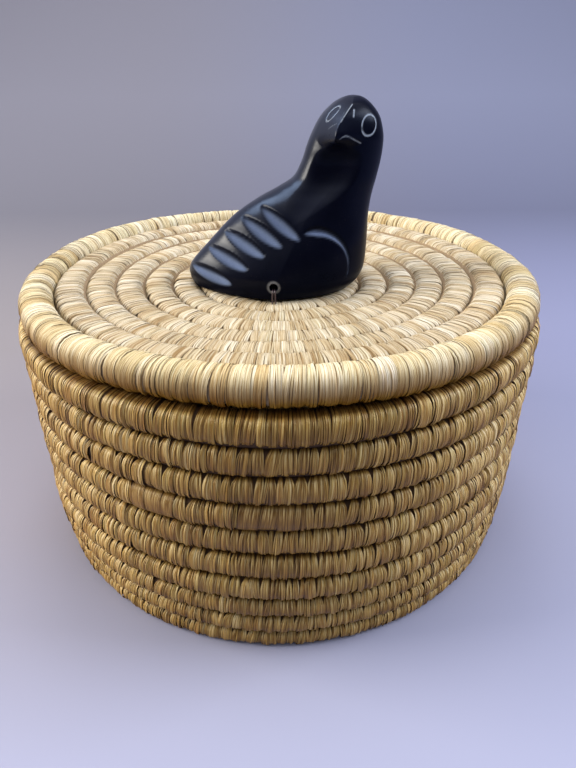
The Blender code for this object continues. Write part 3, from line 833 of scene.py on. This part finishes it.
def soapstone(name):
    """Black carved stone: polished, duller and blue-grey in the gouges, with painted light on their
    lower halves; a painted grey sheen on the head's left side, the back and the tail; pale in
    scratches and in a painted highlight along the beak's ridge.
    """
    finish = Finish(name)
    where = finish.place()
    carved, scratch_and_glint = finish.attribute("carved"), finish.attribute("scratch_and_glint")
    cloud = finish.noise(where, 90.0, 4.0)
    grain = finish.noise(where, 1500.0)
    color = finish.mix(cloud, STONE_DARK, STONE_LIGHT)
    # Painted sheen: greyer on the head's left side, the back and the tail, where they face the light
    color = finish.mix(finish.attribute("sheen_grey") * (0.9 - 0.4 * cloud), color, STONE_SHEEN_GREY)
    dust = finish.noise(where, 2400.0).ramp(0.62, 0.74) * finish.noise(where, 160.0).ramp(0.45, 0.65)
    color = finish.mix(dust * 0.25, color, STONE_DUST)
    # The gouges' blue-grey: the carved stone's own colour and a painted reflection of the sky, with
    # painted light on their lower halves
    color = finish.mix(carved * (0.9 + 0.3 * (grain - 0.5)), color, STONE_CARVED_SKYLIT)
    off_bore = ((finish.part(where, 0) - (BIRD_FOOT[0] + BORE_X) * MM) ** 2.0
                + (finish.part(where, 2) - (BIRD_FOOT[2] + BORE_HEIGHT) * MM) ** 2.0) ** 0.5 / MM
    chipped = off_bore.ramp(BORE_RADIUS + CHIPPED_RING, BORE_RADIUS + 0.5) * off_bore.ramp(
        BORE_RADIUS, BORE_RADIUS + 0.3)
    color = finish.mix(chipped * (0.25 + 0.6 * grain), color, STONE_CHIPPED)
    worn = finish.noise(where, 450.0).ramp(0.20, 0.48)
    # Pale in scratches, and a painted highlight along the beak's ridge
    color = finish.mix(scratch_and_glint * worn * (0.55 + 0.45 * grain), color, STONE_SCRATCH_AND_GLINT)
    roughness = 0.22 + carved * 0.16 + cloud * 0.10 + grain * 0.05 + (scratch_and_glint + chipped) * 0.3
    relief = finish.bump(grain, 0.06, 0.0002)
    return finish.set(Base_Color=color, Roughness=roughness, Normal=relief, Specular_IOR_Level=0.05,
                      Specular_Tint=(0.35, 0.55, 1.0), Coat_Roughness=0.24,
                      Coat_Weight=finish.attribute("polish_and_highlight") * (0.70 - 0.45 * cloud))


def thread_finish(name):
    finish = Finish(name)
    twist = finish.noise(finish.place(), 1500.0)
    # Painted shade: both colours are darkened for the shade the thread lies in
    color = finish.mix(twist, (0.04, 0.025, 0.030), (0.09, 0.060, 0.070))
    return finish.set(Base_Color=color, Roughness=0.35)


def make_basket():
    tan = grass("golden_grass_strands", GOLDEN_GRASS)
    pale = grass("pale_grass_strands", PALE_GRASS)
    creamy = grass("creamy_grass_strands", CREAMY_GRASS)
    bundle = bundle_finish("grass_bundle", (0.040, 0.018, 0.007), (0.100, 0.048, 0.018))
    pale_bundle = bundle_finish("pale_grass_bundle", (0.210, 0.140, 0.075), (0.390, 0.280, 0.165))
    sew_coil("wall", WALL_COURSES, wall_place, WALL_LOOK, 11, "basket", "wall_coil",
             tan, bundle, by_course=True)
    floor = flat_place(0.0, FLOOR_RADIUS, FLOOR_COURSES, FLOOR_THICKNESS, floor_crest)
    sew_coil("floor", FLOOR_COURSES, floor, HIDDEN_LOOK, 21, "basket", "base_coil",
             tan, bundle)
    field = flat_place(0.0, LID_FIELD_RADIUS, LID_COURSES, LID_THICKNESS, lid_crest)
    sew_coil("lid_field", LID_COURSES, field, FIELD_LOOK, 31, "lid", "lid_coil",
             pale, pale_bundle, by_course=True)
    edge = flat_place(LID_FIELD_RADIUS, LID_RADIUS + COURSE_GAP / 2, 1, EDGE_HEIGHT,
                      lambda radius: np.full_like(radius, EDGE_TOP))
    sew_coil("lid_edge", 1, edge, EDGE_LOOK, 41, "lid", "lid_edge_coil", creamy,
             pale_bundle)
    flange_outer = flange_high[0]
    flange_top = flange_high[2] + FLANGE_SEWN_IN
    flange = flat_place(flange_outer - FLANGE_BREADTH, flange_outer, 1, flange_top - flange_low[2],
                        lambda radius: np.full_like(radius, flange_top))
    sew_coil("lid_flange", 1, flange, HIDDEN_LOOK, 51, "lid", "lid_flange_coil",
             tan, bundle)


def smooth_rows(rows, steps):
    """Points on a Catmull-Rom curve through the rows."""
    rows = np.asarray(rows)
    padded = np.vstack([2 * rows[0] - rows[1], rows, 2 * rows[-1] - rows[-2]])
    part = np.arange((len(rows) - 1) * steps + 1) / steps
    span = np.minimum(part.astype(int), len(rows) - 2)
    t = (part - span)[:, None]
    before, here, there, after = (padded[span + shift] for shift in range(4))
    return 0.5 * (2 * here + (there - before) * t
                  + (2 * before - 5 * here + 4 * there - after) * t ** 2
                  + (3 * here - before - 3 * there + after) * t ** 3)


STATIONS = smooth_rows(BIRD_STATIONS, BIRD_STEPS)


def soft_least(first, second, softness):
    """The lesser of two values, with the corner between them rounded."""
    near = np.clip(0.5 + 0.5 * (second - first) / softness, 0.0, 1.0)
    return second + (first - second) * near - softness * near * (1.0 - near)


def bird_surface(stations, around):
    """Points of the bird at an angle round each of its level sections.

    A section is an oval. Towards the beak its radius is divided by the cosine of the angle that
    is left to the edge of the cheek, which draws two straight lines that touch the oval and meet.
    Where the throat is cut, the radius ends at a flat that faces the same way.
    """
    height, tail, breast, half_width, beak, throat, taper = stations.T[:, :, None]
    narrow = 1.0 + TAIL_TAPER * taper * np.minimum(np.cos(around), 0.0)
    along = (breast - tail) / 2 * np.cos(around)
    across = half_width * np.sin(around) * narrow
    reach = np.hypot(along, across)
    face_turn = FACE_TURN + BROW_TURN * np.clip((height - BROW_FROM) / BROW_SPAN, 0.0, 1.0) ** 2
    way = np.arctan2(across, along)
    off_beak = np.abs((way - face_turn + math.pi) % TURN - math.pi)
    cheek = np.arccos(reach / (reach + np.maximum(beak, 0.0)))
    drawn_out = 1.0 / np.cos(np.maximum(cheek - off_beak, 0.0))
    facing = np.maximum(np.cos(way - THROAT_TURN), LEAST_FACING)
    cut_flat = (1.0 + np.maximum(beak, 0.0) / reach - throat) / facing
    softness = THROAT_SOFTNESS * np.clip(throat / 0.1, 0.02, 1.0)
    scale = soft_least(drawn_out, cut_flat, softness)
    return np.stack([(breast + tail) / 2 + along * scale, across * scale,
                     np.broadcast_to(height, scale.shape)], axis=2)


def flank_points(along, height, side):
    """Points on one flank at given places along the bird and above its foot."""
    rows = np.stack([np.interp(height, STATIONS[:, 0], column) for column in STATIONS.T], axis=1)
    middle, half_length = (rows[:, 2] + rows[:, 1]) / 2, (rows[:, 2] - rows[:, 1]) / 2
    around = side * np.arccos(np.clip((along - middle) / half_length, -1.0, 1.0))
    return bird_surface(rows, around[:, None])[:, 0]


def gouges():
    """Each gouge as points on the skin, with its half width and its depth at each of them.

    A feather is a leaf: its width goes with a root of the sine along it. A wing's front edge is
    an arc, broad near its upper end and thin towards the lower one.
    """
    step = np.linspace(0.0, 1.0, GOUGE_STEPS)
    leaf = np.sin(step * math.pi) ** 0.6
    swept = np.clip(step / 0.15, 0.0, 1.0) ** 0.6 * (1.0 - 0.8 * step) * np.sqrt(1.0 - step)
    arc = WING_FROM + (WING_TO - WING_FROM) * step
    wing = np.array(WING_CENTRE) + WING_RADIUS * np.stack([np.cos(arc), np.sin(arc)], axis=1)
    for side in (-1.0, 1.0):
        for share in np.linspace(0.0, 1.0, FEATHERS):
            start, end = (np.array(first) * (1 - share) + np.array(last) * share
                          for first, last in zip(FIRST_FEATHER, LAST_FEATHER))
            line = start + (end - start) * step[:, None]
            line[:, 1] += 4 * share * (1 - share) * FEATHER_BOW
            yield (flank_points(line[:, 0], line[:, 1], side), leaf * FEATHER_WIDTH / 2,
                   leaf * FEATHER_DEPTH)
        yield (flank_points(wing[:, 0], wing[:, 1], side), swept * WING_WIDTH / 2,
               swept * WING_DEPTH)


def skin_normals(points):
    """Outward normals of a grid of points that is closed along its columns."""
    up = np.gradient(points, axis=0)
    over = np.roll(points, -1, axis=1) - np.roll(points, 1, axis=1)
    normals = np.cross(over, up)
    return normals / np.maximum(np.linalg.norm(normals, axis=2, keepdims=True), 1e-9)


def off_line(points, line):
    """Distance of each point from a line of straight stretches."""
    least = np.full(points.shape[:2], np.inf)
    for start, end in zip(np.array(line[:-1]), np.array(line[1:])):
        way = end - start
        share = np.clip(((points - start) @ way) / (way @ way), 0.0, 1.0)[..., None]
        least = np.minimum(least, np.linalg.norm(points - start - share * way, axis=2))
    return least


def off_ring(points, centre, first, second):
    """Distance of each point from an ellipse given by its middle and two half axes."""
    centre, first, second = np.array(centre), np.array(first), np.array(second)
    normal = np.cross(first, second)
    normal /= np.linalg.norm(normal)
    local = points - centre
    a, b = local @ first / (first @ first), local @ second / (second @ second)
    size = math.sqrt(np.linalg.norm(first) * np.linalg.norm(second))
    in_plane = np.abs(np.hypot(a, b) - 1.0) * size
    return np.hypot(in_plane, np.maximum(np.abs(local @ normal) - 2.0, 0.0))


def scratches(points):
    """How deep each point lies in a mark of the face, from 0 to 1: the scratches and the painted
    highlight along the beak's ridge.
    """
    marks = [off_line(points, smooth_rows(MOUTH, 6)) + MOUTH_FAINT]
    marks += [off_ring(points, *ring) + faint for faint, *ring in EYE_RINGS]
    marks += [off_line(points, line) + faint for faint, *line in FACE_LINES]
    off = np.minimum.reduce(marks)
    return np.clip(1.3 - off / SCRATCH_HALF_WIDTH, 0.0, 1.0)


def carve(points):
    """How dull carving leaves each point, with its pale part shifted into a gouge's lower half as
    painted light, how deep it lies in a gouge and how near to one it is.

    Depth falls off across a gouge with a power of one minus the distance squared.
    """
    carved, depth, beside = np.zeros((3, *points.shape[:2]))
    for path, half_width, deep in gouges():
        for spot, half, down in zip(path, half_width, deep):
            if half > THINNEST_GOUGE:
                off = np.linalg.norm(points - spot, axis=2) / half
                depth = np.maximum(depth, down * np.clip(1.0 - off ** 2, 0.0, 1.0) ** 1.4)
                beside = np.maximum(beside, np.clip(UNRUBBED_REACH - off, 0.0, 1.0))
                # Painted light: the pale part is shifted down into the gouge's lower half
                off = np.linalg.norm(points - spot - GOUGE_LIGHT_DROP, axis=2) / half
                soft = np.clip(1.0 - off ** 2, 0.0, 1.0) ** 1.6
                carved = np.maximum(carved, soft * min(down / DULL_DEPTH, 1.0))
    return carved, depth, beside


def make_bird():
    points = bird_surface(STATIONS, TURN * np.arange(BIRD_SIDES) / BIRD_SIDES)
    normals = skin_normals(points)
    carved, depth, beside = carve(points)
    scratch_and_glint = scratches(points)
    polish_and_highlight = np.clip(normals @ RUBBED_WAY, 0.0, 1.0) ** 1.6 * (1.0 - UNRUBBED_SHARE * beside)
    polish_and_highlight = polish_and_highlight * (1.0 - np.clip(depth / UNRUBBED_DEPTH, 0.0, 1.0))
    # Painted sheen on the head's left side, the back and the tail
    head = np.clip((points[..., 2] - FACE_FROM) / FACE_SPAN, 0.0, 1.0)
    sheen_grey = np.maximum(FACE_SHEEN * head * np.clip(normals @ FACE_WAY, 0.0, 1.0) ** 2,
                        np.clip(normals @ BACK_WAY, 0.0, 1.0) ** 4)
    points = points - normals * (depth + SCRATCH_DEPTH * scratch_and_glint)[..., None]
    rows, columns = points.shape[:2]
    hubs = points[[0, -1]].mean(axis=1)
    every = (np.concatenate([points.reshape(-1, 3), hubs]) + BIRD_FOOT) * MM
    bird = add_mesh("carved_bird", every, grid_quads(rows, columns, close_columns=True),
                    [end_caps(rows, columns, rows * columns)])
    for name, values in (("carved", carved), ("scratch_and_glint", scratch_and_glint), ("polish_and_highlight", polish_and_highlight),
                         ("sheen_grey", sheen_grey)):
        point_values(bird, name, np.append(values.ravel(), [0.0, 0.0]))
    drill_bore(bird)
    belongs(bird, "lid", "bird", soapstone("black_soapstone_polished"))


def tube_along(path, radius, sides):
    """Rings of a round tube along a closed path of points."""
    way = np.roll(path, -1, axis=0) - np.roll(path, 1, axis=0)
    way /= np.linalg.norm(way, axis=1, keepdims=True)
    reference = np.where(np.abs(way[:, :1]) < 0.9, [[1.0, 0.0, 0.0]], [[0.0, 1.0, 0.0]])
    first = np.cross(way, reference)
    first /= np.linalg.norm(first, axis=1, keepdims=True)
    second = np.cross(way, first)
    turn = (TURN * np.arange(sides) / sides)[None, :, None]
    return path[:, None] + radius * (np.cos(turn) * first[:, None] + np.sin(turn) * second[:, None])


def drill_bore(bird):
    """Cut the cross bore with a bar of 48 sides and keep the result as the bird's mesh."""
    sides, half_length = 48, 40.0
    turn = TURN * np.arange(sides) / sides
    ring = np.stack([BORE_X + BORE_RADIUS * np.cos(turn), np.zeros(sides),
                     BORE_HEIGHT + BORE_RADIUS * np.sin(turn)], axis=1)
    ends = np.array([[0.0, half_length, 0.0], [0.0, -half_length, 0.0]])
    rings = ring[None] + ends[:, None]
    hubs = rings.mean(axis=1)
    points = (np.concatenate([rings.reshape(-1, 3), hubs]) + BIRD_FOOT) * MM
    bar = add_mesh("bore_bar", points, grid_quads(2, sides, close_columns=True),
                   [end_caps(2, sides, 2 * sides)])
    hole = bird.modifiers.new("bore", "BOOLEAN")
    hole.operation = "DIFFERENCE"
    hole.object = bar
    scene_now = bpy.context.evaluated_depsgraph_get()
    drilled = bpy.data.meshes.new_from_object(bird.evaluated_get(scene_now))
    bird.modifiers.clear()
    bird.data = drilled
    bpy.data.objects.remove(bar)


def thread_path(half_loop, top, bottom):
    """A closed loop of straight runs with quarter circles between them, as rows of Y and Z."""
    turn = np.radians(np.arange(0, 91, 9))
    corner = np.stack([np.cos(turn), np.sin(turn)], axis=1) * THREAD_CORNER
    path = []
    for quarter, (y, z, up) in enumerate(((half_loop, top, 1.0), (-half_loop, top, 1.0),
                                          (-half_loop, bottom, -1.0), (half_loop, bottom, -1.0))):
        way = quarter * math.pi / 2
        spin = np.array([[math.cos(way), -math.sin(way)], [math.sin(way), math.cos(way)]])
        hub = np.array([y - math.copysign(THREAD_CORNER, y), z - up * THREAD_CORNER])
        path.append(hub + corner @ spin.T)
    return np.concatenate(path)


def make_lashing():
    """Two threads side by side through the bore and round under the lid, and their knot.

    The knot is a trefoil: sums of a sine and a doubled sine, with a tripled sine across.
    """
    half_loop = (bird_high[1] - bird_low[1]) / 2 / MM + THREAD_RADIUS
    middle_y = (thread_high[1] + thread_low[1]) / 2 / MM
    top = BIRD_FOOT[2] + BORE_HEIGHT - BORE_RADIUS + THREAD_RADIUS
    bottom = lid_crest(0.0) / MM - LID_THICKNESS / MM - UNDER_LID
    y, z = thread_path(half_loop, top, bottom).T
    spread = THREAD_APART + THREAD_SPREAD * np.clip((top - z) / SPREAD_HEIGHT, 0.0, 1.0)
    paths = [np.stack([BIRD_FOOT[0] + BORE_X + way * spread, y + middle_y, z], axis=1)
             for way in (-1.0, 1.0)]
    turn = np.linspace(0.0, TURN, 72, endpoint=False)
    wide, long, high = KNOT_SIZES
    knot = np.stack([wide * (np.sin(turn) + 2 * np.sin(2 * turn)),
                     long * np.cos(turn) - np.cos(2 * turn), high * -np.sin(3 * turn)], axis=1)
    paths.append(knot + [BIRD_FOOT[0] + BORE_X, middle_y - half_loop / 2, bottom - KNOT_DROP])
    points, quads, count = [], [], 0
    for path in paths:
        rings = tube_along(path, THREAD_RADIUS, THREAD_SIDES)
        band = grid_quads(*rings.shape[:2], close_rows=True, close_columns=True)
        points.append(rings.reshape(-1, 3))
        quads.append(band[:, ::-1] + count)
        count += len(points[-1])
    thread = add_mesh("doubled_thread", np.concatenate(points) * MM, np.concatenate(quads))
    belongs(thread, "lid", "bird_lashing", thread_finish("lashing_thread_spun"))


def make_stage():
    """A pale sweep: a floor that bends up into a backdrop, with painted shade that makes it darker
    towards the back.
    """
    finish = Finish("studio_sweep")
    where = finish.place()
    depth = (finish.part(where, 1) + finish.part(where, 2) + SWEEP_FRONT) / SWEEP_SPAN
    # Painted light and shade: the tints darken towards the back and differ from left to right
    left = finish.colors(depth, (
        (0.02, (0.345, 0.352, 0.475)), (0.10, (0.296, 0.281, 0.335)), (0.26, (0.224, 0.207, 0.224)),
        (0.60, (0.150, 0.149, 0.184)), (0.95, (0.192, 0.192, 0.243))))
    right = finish.colors(depth, (
        (0.02, (0.338, 0.358, 0.510)), (0.10, (0.294, 0.314, 0.462)), (0.26, (0.214, 0.228, 0.360)),
        (0.60, (0.129, 0.138, 0.211)), (0.95, (0.188, 0.203, 0.298))))
    color = finish.mix(finish.part(where, 0).ramp(-0.25, 0.30), left, right)
    finish.set(Base_Color=color, Roughness=0.9, Specular_IOR_Level=0.1)
    angle = np.linspace(0.0, math.pi / 2, 24)
    bend = np.stack([SWEEP_BACK + SWEEP_BEND * np.sin(angle),
                     SWEEP_BEND * (1 - np.cos(angle))], axis=1)
    profile = np.concatenate([[(-SWEEP_REACH, 0.0)], bend,
                              [(SWEEP_BACK + SWEEP_BEND, SWEEP_REACH)]])
    points = np.empty((len(profile), 2, 3))
    points[..., 0] = -SWEEP_REACH, SWEEP_REACH
    points[..., 1:] = profile[:, None]
    sweep = add_mesh("studio_sweep", points.reshape(-1, 3), grid_quads(len(profile), 2))
    sweep.data.materials.append(finish.material)


def add_lamp(name, place, aim, size, power, color, lights, mirrored):
    """A soft rectangular lamp, which may also only light, or only be mirrored in polish."""
    lamp = bpy.data.lights.new(name, "AREA")
    lamp.shape = "RECTANGLE"
    lamp.size, lamp.size_y = size
    lamp.energy = power
    lamp.color = color
    thing = bpy.data.objects.new(name, lamp)
    thing.location = place
    thing.rotation_euler = (Vector(aim) - Vector(place)).to_track_quat("-Z", "Y").to_euler()
    thing.visible_diffuse = lights
    thing.visible_glossy = mirrored
    bpy.context.scene.collection.objects.link(thing)


def make_light():
    """The sky goes with the cosine to its brightest side. The camera itself sees it plain."""
    world = bpy.data.worlds.new("studio_air")
    bpy.context.scene.world = world
    world.use_nodes = True
    tree = world.node_tree
    facing = tree.nodes.new("ShaderNodeVectorMath")
    facing.operation = "DOT_PRODUCT"
    facing.inputs[1].default_value = SKY_WAY
    tree.links.new(tree.nodes.new("ShaderNodeTexCoord").outputs["Generated"], facing.inputs[0])
    sky = tree.nodes.new("ShaderNodeMapRange")
    tree.links.new(facing.outputs["Value"], sky.inputs["Value"])
    sky.inputs["To Min"].default_value = SKY_LOW
    sky.inputs["To Max"].default_value = SKY_HIGH
    air = tree.nodes["Background"]
    air.inputs["Color"].default_value = (0.88, 0.91, 1.0, 1.0)
    shown = tree.nodes.new("ShaderNodeMix")
    shown.inputs[3].default_value = SKY_SEEN
    tree.links.new(tree.nodes.new("ShaderNodeLightPath").outputs["Is Camera Ray"], shown.inputs[0])
    tree.links.new(sky.outputs["Result"], shown.inputs[2])
    tree.links.new(shown.outputs[0], air.inputs["Strength"])
    for lamp in LAMPS:
        add_lamp(*lamp)


def make_camera():
    camera = bpy.data.cameras.new("camera")
    camera.sensor_width = SENSOR
    camera.lens = CAMERA_LENS
    camera.clip_start = 0.01
    thing = bpy.data.objects.new("camera", camera)
    axes = Matrix((CAMERA_RIGHT, CAMERA_UP, CAMERA_BACK)).transposed().to_4x4()
    thing.matrix_world = Matrix.Translation(CAMERA_PLACE) @ axes
    bpy.context.scene.collection.objects.link(thing)
    bpy.context.scene.camera = thing


bpy.context.scene.view_settings.view_transform = "Standard"
make_camera()
make_basket()
make_bird()
make_lashing()
make_stage()
make_light()
